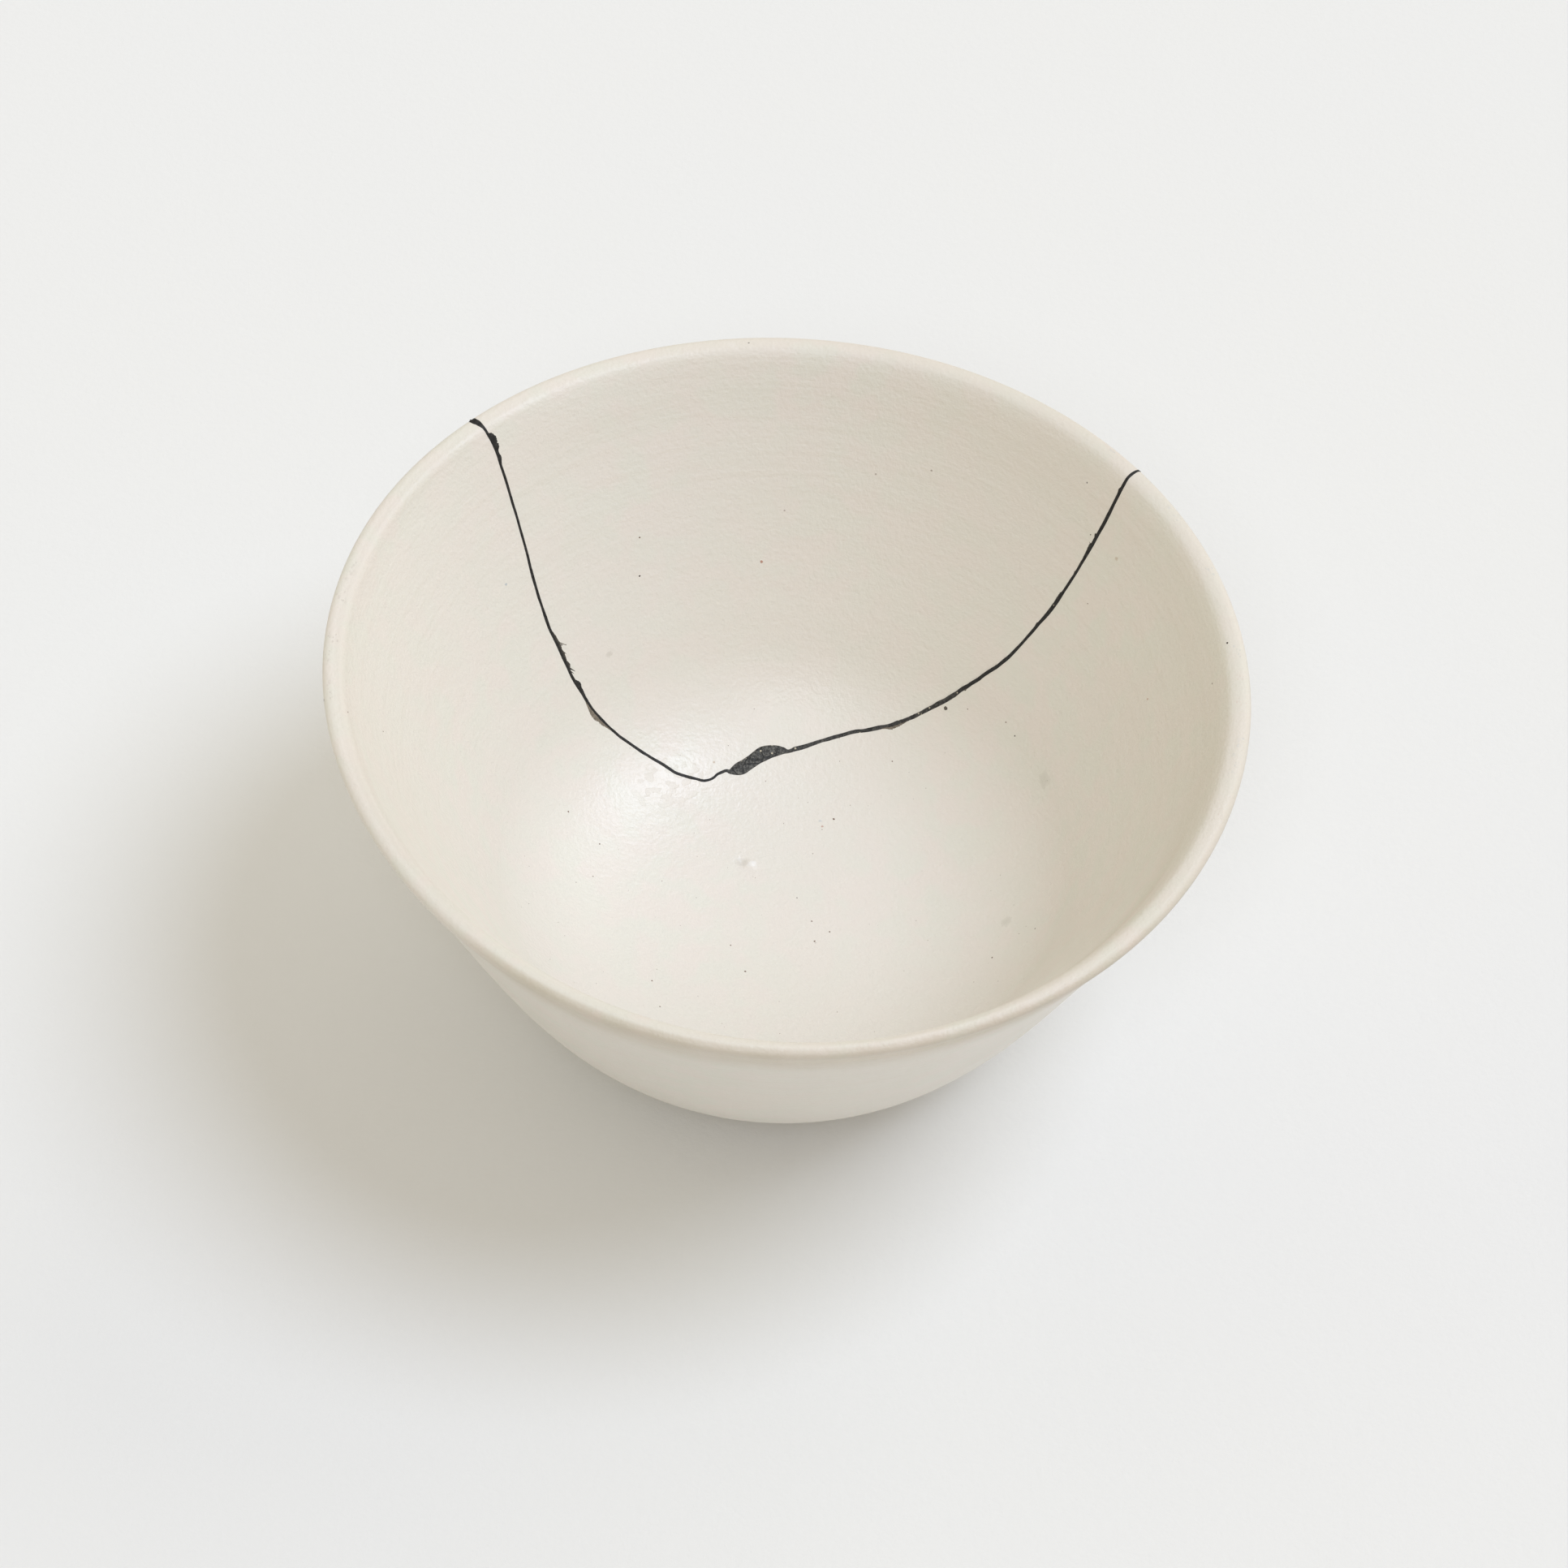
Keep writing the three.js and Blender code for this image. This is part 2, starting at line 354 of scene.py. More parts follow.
# Scuffs where the lip has been rubbed: azimuth, radius, half length, how strong, colour
SCUFFS = [
    (163, 68.6, 0.9, 0.30, GREY_ROSE),
    (168, 68.3, 0.8, 0.40, GREY_ROSE),
    (175, 68.0, 0.6, 0.40, GREY_ROSE),
    (178, 68.2, 0.7, 0.30, GREY_ROSE),
    (183, 67.9, 0.8, 0.25, GREY_ROSE),
    (185, 67.3, 0.5, 0.35, GREY_ROSE),
    (20, 67.6, 0.6, 0.30, BLUISH),
    (6, 67.8, 0.7, 0.35, BLUISH),
    (2, 67.9, 0.4, 0.40, ROSE),
    (-2, 67.8, 0.5, 0.30, ROSE),
    (-9, 67.9, 0.9, 0.22, BLUISH),
    (-13, 67.9, 0.9, 0.22, BLUISH),
    (-20, 68.2, 0.5, 0.25, ROSE),
    (30, 68.0, 0.9, 0.20, BLUISH),
    (37, 68.9, 0.9, 0.30, BLUISH),
    (44, 69.0, 1.0, 0.30, BLUISH),
]
# Flecks of a scuff: how many, their spread across the lip, and their shares of its size and strength
SCUFF_FLECKS = 7
FLECK_SPREAD = 0.4
FLECK_LENGTHS = (0.2, 0.7)
FLECK_NARROWING = 0.6
FLECK_STRENGTHS = (0.4, 1)
# Fine specks over the floor and the lower wall
SPECKS = 110
SPECK_REACH = 44
SPECK_SHIFT = -6
SPECK_CROWDING = (0.01, 1)
SPECK_SIZES = (0.06, 0.13)
SPECK_STRENGTHS = (0.4, 0.9)

# Tones of the glaze
GLAZE = (0.790, 0.751, 0.681)
GLAZE_ROSE = (0.804, 0.745, 0.681)
GLAZE_GREEN = (0.772, 0.758, 0.678)
GLAZE_WARM = (0.786, 0.738, 0.656)
# Darker lip: a thinner glaze with painted shade over its lit top
LIP_GLAZE_AND_SHADE_TONE = (0.925, 0.912, 0.895)
# Painted shade over the lip's inner ridge
RIDGE_SHADE = (0.930, 0.920, 0.905)
# Painted shade on the lip's outer face and under it
FACE_SHADE = (0.850, 0.810, 0.750)
STREAK_TONE = (0.970, 0.962, 0.945)
BARE_CLAY = (0.62, 0.56, 0.47)
# A noise is given as its feature size in metres, its detail and, where it isn't a half, its roughness.
# Mottling over the rosy glaze: feature size, detail, limits with their shares, tone
MOTTLING = [
    (0.0055, 2.0, (0.38, 0.62, 0.0, 1.0), GLAZE_GREEN),
    (0.018, 2.0, (0.35, 0.65, 0.15, 0.75), GLAZE),
    (0.05, 1.0, (0.4, 0.7, 0.0, 0.35), GLAZE_WARM),
]
# Turning lines, and how fast they drift round the bowl
TURNING_LINES = (0.0012, 3.0, 0.6)
TURNING_DRIFT = 0.05
# Limits between which a share rises or falls, with its values at both where they aren't 0 and 1
STREAK_LINES = (0.45, 0.70)
STREAK_HEIGHT = (0.020, 0.055, 0.05, 0.45)
# Where the lip is darker: a thinner glaze with painted shade over its lit top, more at the right and the
# front
LIP_RADII = (0.0662, 0.0680)
LIP_HEIGHTS = (0.0645, 0.0665)
LIP_TO_RIGHT = (-0.064, 0.055, 0.15, 1.0)
LIP_TO_FRONT = (-0.028, -0.008, 0.7, 0.0)
# Where painted shade dims the lip's inner ridge, at the left
RIDGE_RADIUS_IN = (0.0652, 0.0667)
RIDGE_HEIGHT = (0.0630, 0.0655)
RIDGE_RADIUS_OUT = (0.0675, 0.0686, 1.0, 0.0)
RIDGE_TO_LEFT = (-0.062, -0.030, 1.0, 0.0)
# Where painted shade darkens the lip's outer face and the wall under it, at the front
FACE_OUTWARD = (0.0007, 0.0017)
FACE_HEIGHT = (0.0545, 0.0655)
FACE_TO_FRONT = (-0.055, 0.0, 1.0, 0.12)
FACE_NOISE = (0.006, 3.0)
FACE_PATCHES = (0.3, 0.7, 0.75, 1.0)
FACE_TO_RIGHT = (-0.050, -0.036, 0.0, 1.0)
CLAY_HEIGHT = (0.0002, 0.0009, 1.0, 0.0)
CLAY_RADIUS = (0.021, 0.0225)
# Gloss of the glaze, rougher on the lip and in the pits
GLOSS_NOISE = (0.008, 2.0)
GLAZE_ROUGHNESS = (0.3, 0.7, 0.355, 0.435)
LIP_ROUGHER = (0.0620, 0.0655, 0.0, 0.08)
PITS_ROUGHER = 0.15
GLAZE_SPECULAR = 0.73
# Cluster of shallow pits in the glaze: middle, reach, and the share of it within which it is full
PITTED = (-0.0172, 0.0245)
PITTED_REACH = 0.0085
PITTED_FULL = 0.45
PITS = (0.0015, 2.0)
PIT_LIMITS = (0.50, 0.60)
# Relief of the glaze
EGGSHELL = (0.0006, 2.0, 0.6)
EGGSHELL_DEPTH = 0.00010
RIPPLES = (0.0013, 1.0)
RIPPLE_DEPTH = 0.00007
TURNING_HEIGHT = (0.015, 0.060, 0.3, 1.0)
TURNING_DEPTH = 0.00006
PIT_DEPTH = -0.00004

# Filler: its grain, the dust, cracks and bright grains where it is gritty, and the haze of its films
FILLER_BLACK = (0.012, 0.012, 0.012)
FILLER_GREY = (0.045, 0.043, 0.04)
GRAIN = (0.0006, 4.0, 0.7)
GRAIN_LIMITS = (0.4, 0.75)
GRAIN_DEPTH = 0.0001
DUST_DARK = (0.030, 0.029, 0.027)
DUST_PALE = (0.152, 0.148, 0.132)
DUST = (0.00040, 4.0, 0.85)
DUST_LIMITS = (0.43, 0.62)
CRACK = (0.010, 0.010, 0.010)
CRACK_SPACING = 0.0026
CRACK_LIMITS = (0.015, 0.05, 0.8, 0.0)
GLINT = (0.52, 0.47, 0.36)
GLINT_SPACING = 0.0006
GLINT_EDGE = (0.20, 0.34, 1.0, 0.0)
GLINT_GRIT = (0.0, 0.3)
GLINT_PICK = (0.80, 0.82)
HAZE = (0.30, 0.255, 0.195)
HAZE_NOISE = (0.0005, 3.0)
HAZE_LIMITS = (0.3, 0.7, 0.7, 1.2)
FILLER_ROUGHNESS = (0.3, 0.7, 0.42, 0.62)
FILLER_SPECULAR = 0.35

# Pale paper floor
FLOOR_REACH = 2500
PAPER = (0.800, 0.800, 0.788)
PAPER_COOL = (0.798, 0.800, 0.792)
PAPER_CLOUDS = (0.09, 2.0)
PAPER_LIMITS = (0.3, 0.7)
PAPER_ROUGHNESS = 0.9
PAPER_SPECULAR = 0.15
FIBRES = (0.0012, 3.0, 0.6)
FIBRES_DEPTH = 0.00006

# Camera, fitted to the rim's ellipse and the wall's outline
CAMERA_ELEVATION = 49.89
CAMERA_ROLL = 1.48
CAMERA_DISTANCE = 1000.0
CAMERA_AIM = (0.0, 0.0, 40.0)
CAMERA_PIXELS_PER_MM = 8.1164
CAMERA_SENSOR = 36.0
CAMERA_NEAREST = 10.0
PHOTO_SIZE = 1932
AIM_PIXEL = (964.5, 984.8)

# Soft lamps: elevation and azimuth each shines from, spread in degrees, and colour times strength
LAMPS = {
    "key_window": (62, 0, 30, (1.087, 1.235, 1.50)),
    "right_reflector": (25, 40, 50, (0.608, 0.596, 0.52)),
    "front_fill": (50, -96, 20, (0.464, 0.499, 0.56)),
    "back_fill": (45, 108, 50, (0.132, 0.133, 0.133)),
    "left_reflector": (20, 165, 60, (0.217, 0.232, 0.14)),
}
ROOM_LIGHT = (0.52, 0.467, 0.393)

rng = np.random.default_rng(7)


def bezier(start, start_pull, end_pull, end):
    """Points along a cubic curve between two ends, drawn towards two pulls."""
    t = np.linspace(0, 1, CURVE_STEPS + 1)[:, None]
    a, b, c, d = (np.array(point, float) for point in (start, start_pull, end_pull, end))
    return (1 - t) ** 3 * a + 3 * t * (1 - t) ** 2 * b + 3 * t**2 * (1 - t) * c + t**3 * d


def spline(points, steps):
    """Points along a curve through each given point."""
    points = np.array(points, float)
    at = np.linspace(0, len(points) - 1, steps + 1)
    low = np.minimum(at.astype(int), len(points) - 2)
    t = (at - low)[:, None]
    before, start, end, after = (
        points[np.clip(low + shift, 0, len(points) - 1)] for shift in (-1, 0, 1, 2)
    )
    pull_start = (end - before) / 2
    pull_end = (after - start) / 2
    return (
        (2 * start - 2 * end + pull_start + pull_end) * t**3
        + (3 * end - 3 * start - 2 * pull_start - pull_end) * t**2
        + pull_start * t
        + start
    )


def lengths(line):
    """Distance along a line of points, from its first point."""
    return np.concatenate([[0], np.cumsum(np.linalg.norm(np.diff(line, axis=0), axis=1))])


def respaced(line, step):
    """The same line with points about a step apart in its first two columns, and both its ends."""
    along = lengths(line[:, :2])
    places = np.linspace(0, along[-1], max(2, round(along[-1] / step) + 1))
    return np.column_stack([np.interp(places, along, column) for column in line.T])


def arc(centre, radius, start, end):
    """Points along a round stretch between two angles in degrees."""
    angles = np.radians(np.linspace(start, end, ARC_STEPS + 1))
    return np.column_stack(
        [centre[0] + radius * np.cos(angles), centre[1] + radius * np.sin(angles)]
    )


def rising(value, start, reach):
    """A share that grows from 0 at a start to 1 at a reach beyond it."""
    return np.clip((value - start) / reach, 0, 1)


def foot_profile():
    """From the wall's start down to the foot ring's bearing face and in to the recess's middle."""
    outer_edge = (FOOT_RADIUS - FOOT_EDGE, FOOT_EDGE)
    inner_edge = (FOOT_INNER_RADIUS + FOOT_EDGE, FOOT_EDGE)
    recess_wall = FOOT_INNER_RADIUS - FOOT_EDGE / 2
    recess_corner = (recess_wall - RECESS_ROUND, RECESS_HEIGHT - RECESS_ROUND)
    waist = (FOOT_RADIUS - FOOT_WAIST, FOOT_TOP - FOOT_WAIST_DROP)
    pieces = [
        spline([OUTER_START, FOOT_BEND, waist], FOOT_CURVE_STEPS),
        arc(outer_edge, FOOT_EDGE, 0, -90),
        arc(inner_edge, FOOT_EDGE, -90, -180),
        arc(recess_corner, RECESS_ROUND, 0, 90),
        np.array([(0.0, RECESS_HEIGHT)]),
    ]
    return np.vstack(pieces)


def lip_profile():
    """From the inner wall over the rounded lip to the outer wall."""
    points = [
        INNER_NECK,
        LIP_ROLL,
        LIP_INNER,
        (LIP_TOP_RADIUS, RIM_HEIGHT),
        LIP_SHOULDER,
        (RIM_RADIUS, LIP_HEIGHT),
        LIP_UNDERSIDE,
        OUTER_NECK,
    ]
    return spline(points, CURVE_STEPS)


def profile():
    """The whole section from the floor's middle over the rim to the recess's middle, in rings."""
    floor = bezier((0, FLOOR_HEIGHT), INNER_FLOOR, INNER_BEND, INNER_HIP)
    wall = bezier(INNER_HIP, INNER_LOW, INNER_HIGH, INNER_NECK)
    outer = bezier(OUTER_NECK, OUTER_FLARE, OUTER_BELLY, OUTER_START)
    pit_radius = math.hypot(*DIMPLE[:2])
    near_pit = np.abs(floor[:, 0] - pit_radius) < DIMPLE_REACH * DIMPLE[2]
    first, last = np.flatnonzero(near_pit)[[0, -1]]
    pieces = [
        respaced(floor[: first + 1], RING_STEP),
        respaced(floor[first : last + 1], DIMPLE_STEP),
        respaced(floor[last:], RING_STEP),
        respaced(wall, RING_STEP),
        respaced(lip_profile(), LIP_STEP),
        respaced(outer, RING_STEP),
        respaced(foot_profile(), FOOT_STEP),
    ]
    return np.vstack([pieces[0]] + [piece[1:] for piece in pieces[1:]])


def section_normals():
    """Unit normals of the section, out of the ceramic."""
    slope = np.gradient(SECTION, ALONG, axis=0)
    slope /= np.linalg.norm(slope, axis=1)[:, None]
    return np.column_stack([-slope[:, 1], slope[:, 0]])


def thrown_waves():
    """The waves of the unevenness: turns round the bowl, twist along the section, phase and size."""
    return [
        (turns, rng.uniform(*WAVE_TWISTS), rng.uniform(0, 2 * math.pi), rng.uniform(*WAVE_SIZES))
        for turns in WAVE_TURNS
    ]


SECTION = profile()
ALONG = lengths(SECTION)
LIP_INDEX = int(np.argmax(SECTION[:, 0]))
NORMALS = section_normals()
WAVES = thrown_waves()


def unevenness(theta, along):
    """Hand-thrown undulation at an azimuth and a place along the section."""
    waves = 0
    for turns, twist, phase, size in WAVES:
        waves = waves + size / turns * np.cos(turns * theta + twist * along + phase)
    swaying = np.cos(along / FINE_RING_LENGTHS[0] + FINE_RING_SWAY * np.cos(theta))
    winding = np.cos(along / FINE_RING_LENGTHS[1] + theta)
    return UNEVEN_HEIGHT * waves + FINE_RING_HEIGHT * (swaying + winding) / 2


def raised(theta, radius):
    """Height of the pit and its spot over the floor."""
    total = 0
    for x, y, reach, height in (DIMPLE, DIMPLE_SPOT):
        away = np.hypot(radius * np.cos(theta) - x, radius * np.sin(theta) - y) / reach
        total = total + height * np.exp(-(away**2) * DIMPLE_FALL)
    return total


def drawn_in(theta, radius, height):
    """How far the lip is drawn inward at an azimuth."""
    at_lip = rising(radius, *DRAWN_IN_RADIUS) * rising(height, *DRAWN_IN_HEIGHT)
    inward = 0
    for much, azimuth, reach in LIP_DRAWN_IN:
        turn = theta - math.radians(azimuth)
        turned = np.degrees(np.arctan2(np.sin(turn), np.cos(turn)))
        inward = inward + much * at_lip * np.exp(-((turned / reach) ** 2))
    return inward


def distortion(theta, radius, height):
    """How far a place of the section moves outward and upward at an azimuth."""
    share = np.maximum(height / RIM_HEIGHT, 0) ** DISTORTION_POWER * radius / RIM_RADIUS
    oval, lobe, wave = (
        size * np.cos(turns * (theta - math.radians(azimuth)))
        for turns, size, azimuth in (OVAL, LOBE, RIM_WAVE)
    )
    return (oval + lobe) * share - drawn_in(theta, radius, height), wave * share


def surface(theta):
    """Radius and height of every ring of the section at each azimuth: two arrays, azimuth by ring."""
    theta = np.atleast_1d(theta)[:, None]
    radius, height = SECTION[:, 0][None], SECTION[:, 1][None]
    outward, upward = distortion(theta, radius, height)
    inside = (ALONG < ALONG[LIP_INDEX])[None]
    calm = rising(radius, *CALM_RADIUS) * rising(height, *CALM_HEIGHT)
    out = unevenness(theta, ALONG[None]) * calm + raised(theta, radius) * inside
    moved_radius = radius + outward + NORMALS[:, 0][None] * out
    moved_height = height + upward + NORMALS[:, 1][None] * out
    return moved_radius, moved_height


def surface_point(x, y, side="inside"):
    """The point of the bowl's surface over or under a place in plan, and its normal."""
    theta = math.atan2(y, x)
    radius, height = (values[0] for values in surface(theta))
    lip = int(np.argmax(radius))
    part = slice(0, lip + 1) if side == "inside" else slice(len(radius) - 1, lip - 1, -1)
    radii = np.maximum.accumulate(radius[part]) + np.arange(len(radius[part])) * TINY
    want = min(math.hypot(x, y), radii[-1])
    z = np.interp(want, radii, height[part])
    normal = np.array([np.interp(want, radii, NORMALS[part, i]) for i in (0, 1)])
    normal /= np.linalg.norm(normal)
    place = np.array([want * math.cos(theta), want * math.sin(theta), z])
    return place, np.array([normal[0] * math.cos(theta), normal[0] * math.sin(theta), normal[1]])


def mesh_object(name, places, faces, material, smooth=True):
    """An object in the scene, from places in millimetres."""
    mesh = bpy.data.meshes.new(name)
    mesh.from_pydata([tuple(place) for place in np.asarray(places) * MM], [], faces)
    mesh.validate()
    mesh.materials.append(material)
    mesh.polygons.foreach_set("use_smooth", [smooth] * len(mesh.polygons))
    piece = bpy.data.objects.new(name, mesh)
    bpy.context.collection.objects.link(piece)
    return piece


def keep_values(piece, name, values):
    """Keeps a number at each vertex of a piece, for its material."""
    piece.data.attributes.new(name, "FLOAT", "POINT").data.foreach_set("value", values)


def keep_section_places(piece):
    """Keeps each vertex's radius and height before the distortion, in metres."""
    places = np.empty(len(piece.data.vertices) * 3)
    piece.data.vertices.foreach_get("co", places)
    x, y, z = places.reshape(-1, 3).T / MM
    theta, radius, height = np.arctan2(y, x), np.hypot(x, y), z
    for _ in range(UNDO_ROUNDS):
        outward, upward = distortion(theta, radius, height)
        radius, height = np.hypot(x, y) - outward, z - upward
    keep_values(piece, "ring_radius", radius * MM)
    keep_values(piece, "ring_height", height * MM)


def whole_bowl(material):
    """The unbroken bowl as one closed mesh: rings joined all round, with a pole at each end."""
    theta = np.arange(TURN_STEPS) * 2 * math.pi / TURN_STEPS
    radius, height = surface(theta)
    x = radius * np.cos(theta)[:, None]
    y = radius * np.sin(theta)[:, None]
    ring_places = np.stack([x, y, height], axis=2)[:, 1:-1].reshape(-1, 3)
    poles = [(0, 0, height[0, 0]), (0, 0, height[0, -1])]
    places = np.vstack([ring_places, poles])
    rings = radius.shape[1] - 2
    top, bottom = len(places) - 2, len(places) - 1
    faces = []
    for i in range(TURN_STEPS):
        a, b = i * rings, (i + 1) % TURN_STEPS * rings
        faces.append((top, a, b))
        faces.append((bottom, b + rings - 1, a + rings - 1))
        faces.extend((a + j, a + j + 1, b + j + 1, b + j) for j in range(rings - 1))
    return mesh_object("whole_bowl", places, faces, material)


def smooth_noise(along, length, size):
    """Seeded noise along a line that changes over about the given length."""
    knots = np.arange(along[0] - length, along[-1] + 2 * length, length)
    return np.interp(along, knots, rng.uniform(-size, size, len(knots)))


def break_line():
    """The break in plan at fine steps, as BREAK_PATH, and the unit vector to its shard's side."""
    smooth = respaced(spline(BREAK_PATH, BREAK_CURVE_STEPS), BREAK_STEP)
    along = lengths(smooth[:, :2])
    direction = np.gradient(smooth[:, :2], axis=0)
    direction /= np.linalg.norm(direction, axis=1)[:, None]
    sideways = np.column_stack([-direction[:, 1], direction[:, 0]])
    smooth[:, :2] += sideways * smooth_noise(along, JITTER_LENGTH, BREAK_JITTER)[:, None]
    for width in (BODY_WIDTH, SHARD_WIDTH):
        smooth[:, width] += smooth_noise(along, WIDTH_JITTER_LENGTH, WIDTH_JITTER)
    return smooth, sideways


def far_side(line, name, material):
    """An upright block of everything on the shard's side of a line in plan."""
    count = len(line)
    back = np.column_stack([line[:, 0], np.full(count, CUTTER_BACK)])
    places = [
        (x, y, z) for z in (CUTTER_BOTTOM, CUTTER_TOP) for row in (line, back) for x, y in row
    ]
    low, low_back, high, high_back = (k * count for k in range(4))
    faces = []
    for i in range(count - 1):
        faces.append((low + i, low_back + i, low_back + i + 1, low + i + 1))
        faces.append((high + i, high + i + 1, high_back + i + 1, high_back + i))
        faces.append((low + i, low + i + 1, high + i + 1, high + i))
        faces.append((low_back + i, high_back + i, high_back + i + 1, low_back + i + 1))
    end = count - 1
    faces.append((low, high, high_back, low_back))
    faces.append((low + end, low_back + end, high_back + end, high + end))
    return mesh_object(name, places, faces, material, smooth=False)


def cut(bowl, block, operation, name):
    """A copy of the bowl on one side of the break."""
    piece = bowl.copy()
    piece.data = bowl.data.copy()
    piece.name = name
    piece.data.name = name
    bpy.context.collection.objects.link(piece)
    change = piece.modifiers.new("break", "BOOLEAN")
    change.operation = operation
    change.solver = "MANIFOLD"
    change.object = block
    shape = piece.evaluated_get(bpy.context.evaluated_depsgraph_get())
    mesh = bpy.data.meshes.new_from_object(shape)
    piece.modifiers.clear()
    piece.data = mesh
    mesh.name = name
    mesh.shade_smooth()
    mesh.set_sharp_from_angle(angle=math.radians(SHARP_ANGLE))
    return piece


def ceramic_pieces(line, sideways, material):
    """The body and the shard, each cut from the bowl at its own edge of the filler."""
    body_edge = line[:, :2] - sideways * line[:, BODY_WIDTH, None]
    shard_edge = line[:, :2] + sideways * line[:, SHARD_WIDTH, None]
    bowl = whole_bowl(material)
    body_block = far_side(body_edge, "body_block", material)
    shard_block = far_side(shard_edge, "shard_block", material)
    body = cut(bowl, body_block, "DIFFERENCE", "bowl_body_glazed")
    shard = cut(bowl, shard_block, "INTERSECT", "rejoined_shard_glazed")
    for helper in (bowl, body_block, shard_block):
        bpy.data.objects.remove(helper)
    return body, shard


def joined(parts):
    """Several lists of places and faces as one."""
    places, faces = [], []
    for part_places, part_faces in parts:
        shift = len(places)
        places.extend(part_places)
        faces.extend(tuple(corner + shift for corner in face) for face in part_faces)
    return places, faces


def strip_faces(rows, columns, order=1):
    """Faces of an open grid, turned over where the order is -1."""
    faces = []
    for k in range(rows - 1):
        a, b = k * columns, (k + 1) * columns
        for j in range(columns - 1):
            faces.append((a + j, b + j, b + j + 1, a + j + 1)[::order])
    return faces


def sheet_faces(rows, columns):
    """Faces of a closed sheet between two grids, the places of the upper before those of the lower."""
    under = rows * columns
    last = columns - 1
    faces = []
    for i in range(rows - 1):
        a, b = i * columns, (i + 1) * columns
        for j in range(last):
            faces.append((a + j, b + j, b + j + 1, a + j + 1))
            faces.append((under + a + j, under + a + j + 1, under + b + j + 1, under + b + j))
        faces.append((a, under + a, under + b, b))
        faces.append((a + last, b + last, under + b + last, under + a + last))
    for a, order in ((0, 1), ((rows - 1) * columns, -1)):
        for j in range(last):
            faces.append((a + j, a + j + 1, under + a + j + 1, under + a + j)[::order])
    return faces


def patch_faces(steps, rings):
    """Faces of a disc: a fan round its middle, then bands between its rings."""
    faces = [(0, 1 + k, 1 + (k + 1) % steps) for k in range(steps)]
    for ring in range(1, rings):
        low, high = 1 + (ring - 1) * steps, 1 + ring * steps
        for k in range(steps):
            after = (k + 1) % steps
            faces.append((low + k, high + k, high + after, low + after))
    return faces


def patch(x, y, length, width, height, steps, rings):
    """A low mound on the bowl's inside: its places, faces and how near each place is to its middle."""
    centre, normal = surface_point(x, y)
    around = np.cross((0, 0, 1), normal)
    around /= np.linalg.norm(around)
    up = np.cross(normal, around)
    edge = 1 + PATCH_RAGGED * rng.uniform(-1, 1, steps)
    places = [centre + normal * height]
    nearness = [1.0]
    for ring in range(1, rings + 1):
        share = ring / rings
        for k in range(steps):
            angle = 2 * math.pi * k / steps
            along = length * (share * edge[k]) * math.cos(angle)
            rise = width * (share * edge[k]) * math.sin(angle)
            spot = centre + around * along + up * rise
            place, local = surface_point(spot[0], spot[1])
            lift = height * (1 - share**2) - PATCH_SINK * share**4
            places.append(place + local * lift)
            nearness.append(1 - share)
    return places, patch_faces(steps, rings), nearness


def grit(x):
    """How gritty the filler is at a place along the break."""
    if GRITTY[0] < x < GRITTY[1]:
        return 1.0
    return GRITTY_LINE_SHARE if GRITTY_LINE[0] < x < GRITTY_LINE[1] else 0.0


def within_rim(line):
    """Which points of a line in plan lie inside the rim."""
    return [
        i
        for i, (x, y, _, _) in enumerate(line)
        if math.hypot(x, y) < surface(math.atan2(y, x))[0].max() - BEAD_RIM_MARGIN
    ]


def seam_sheet(line, sideways):
    """The filler as one closed sheet through the wall, with a low bead along both its faces."""
    kept = within_rim(line)
    faces_of_wall = {"inside": [], "outside": []}
    for i in kept:
        x, y, body_width, shard_width = line[i]
        full = min(1.0, (body_width + shard_width) / BEAD_FULL_WIDTH)
        for side, places in faces_of_wall.items():
            for u in np.linspace(-1, 1, BEAD_COLUMNS):
                width = body_width if u < 0 else shard_width
                across = np.array([x, y]) + sideways[i] * (u * (width + BEAD_LAP))
                place, normal = surface_point(*across, side)
                rise = BEAD_HEIGHT + rng.normal() * BEAD_GRAIN * full
                places.append(place + normal * (rise * (1 - u**4) - BEAD_SINK * u**4))
    places = faces_of_wall["inside"] + faces_of_wall["outside"]
    return places, sheet_faces(len(kept), BEAD_COLUMNS)


def fringe(line, sideways, side, reaches):
    """A ragged film of filler lying on the glaze beside the line."""
    xs, outs = np.array(reaches).T
    steps = max(FRINGE_LEAST_STEPS, round((xs[-1] - xs[0]) / FRINGE_STEP))
    width = line[:, BODY_WIDTH if side == BODY_SIDE else SHARD_WIDTH]
    edge = line[:, :2] + sideways * (side * width)[:, None]
    places = []
    for station in np.linspace(xs[0], xs[-1], steps):
        i = int(np.clip(np.searchsorted(line[:, 0], station), 1, len(line) - 1))
        share = (station - line[i - 1, 0]) / (line[i, 0] - line[i - 1, 0])
        foot = edge[i - 1] * (1 - share) + edge[i] * share
        ragged = 1 - FRINGE_RAGGED * rng.uniform()
        out = np.interp(station, xs, outs) * ragged + FRINGE_LEAST_WIDTH
        for u in np.linspace(0, 1, FRINGE_COLUMNS):
            x, y = foot + sideways[i] * side * (u * (out + FRINGE_LAP) - FRINGE_LAP)
            place, normal = surface_point(x, y)
            places.append(place + normal * (FRINGE_HEIGHT * (1 - u**3) - PATCH_SINK * u**3))
    return places, strip_faces(steps, FRINGE_COLUMNS, side)


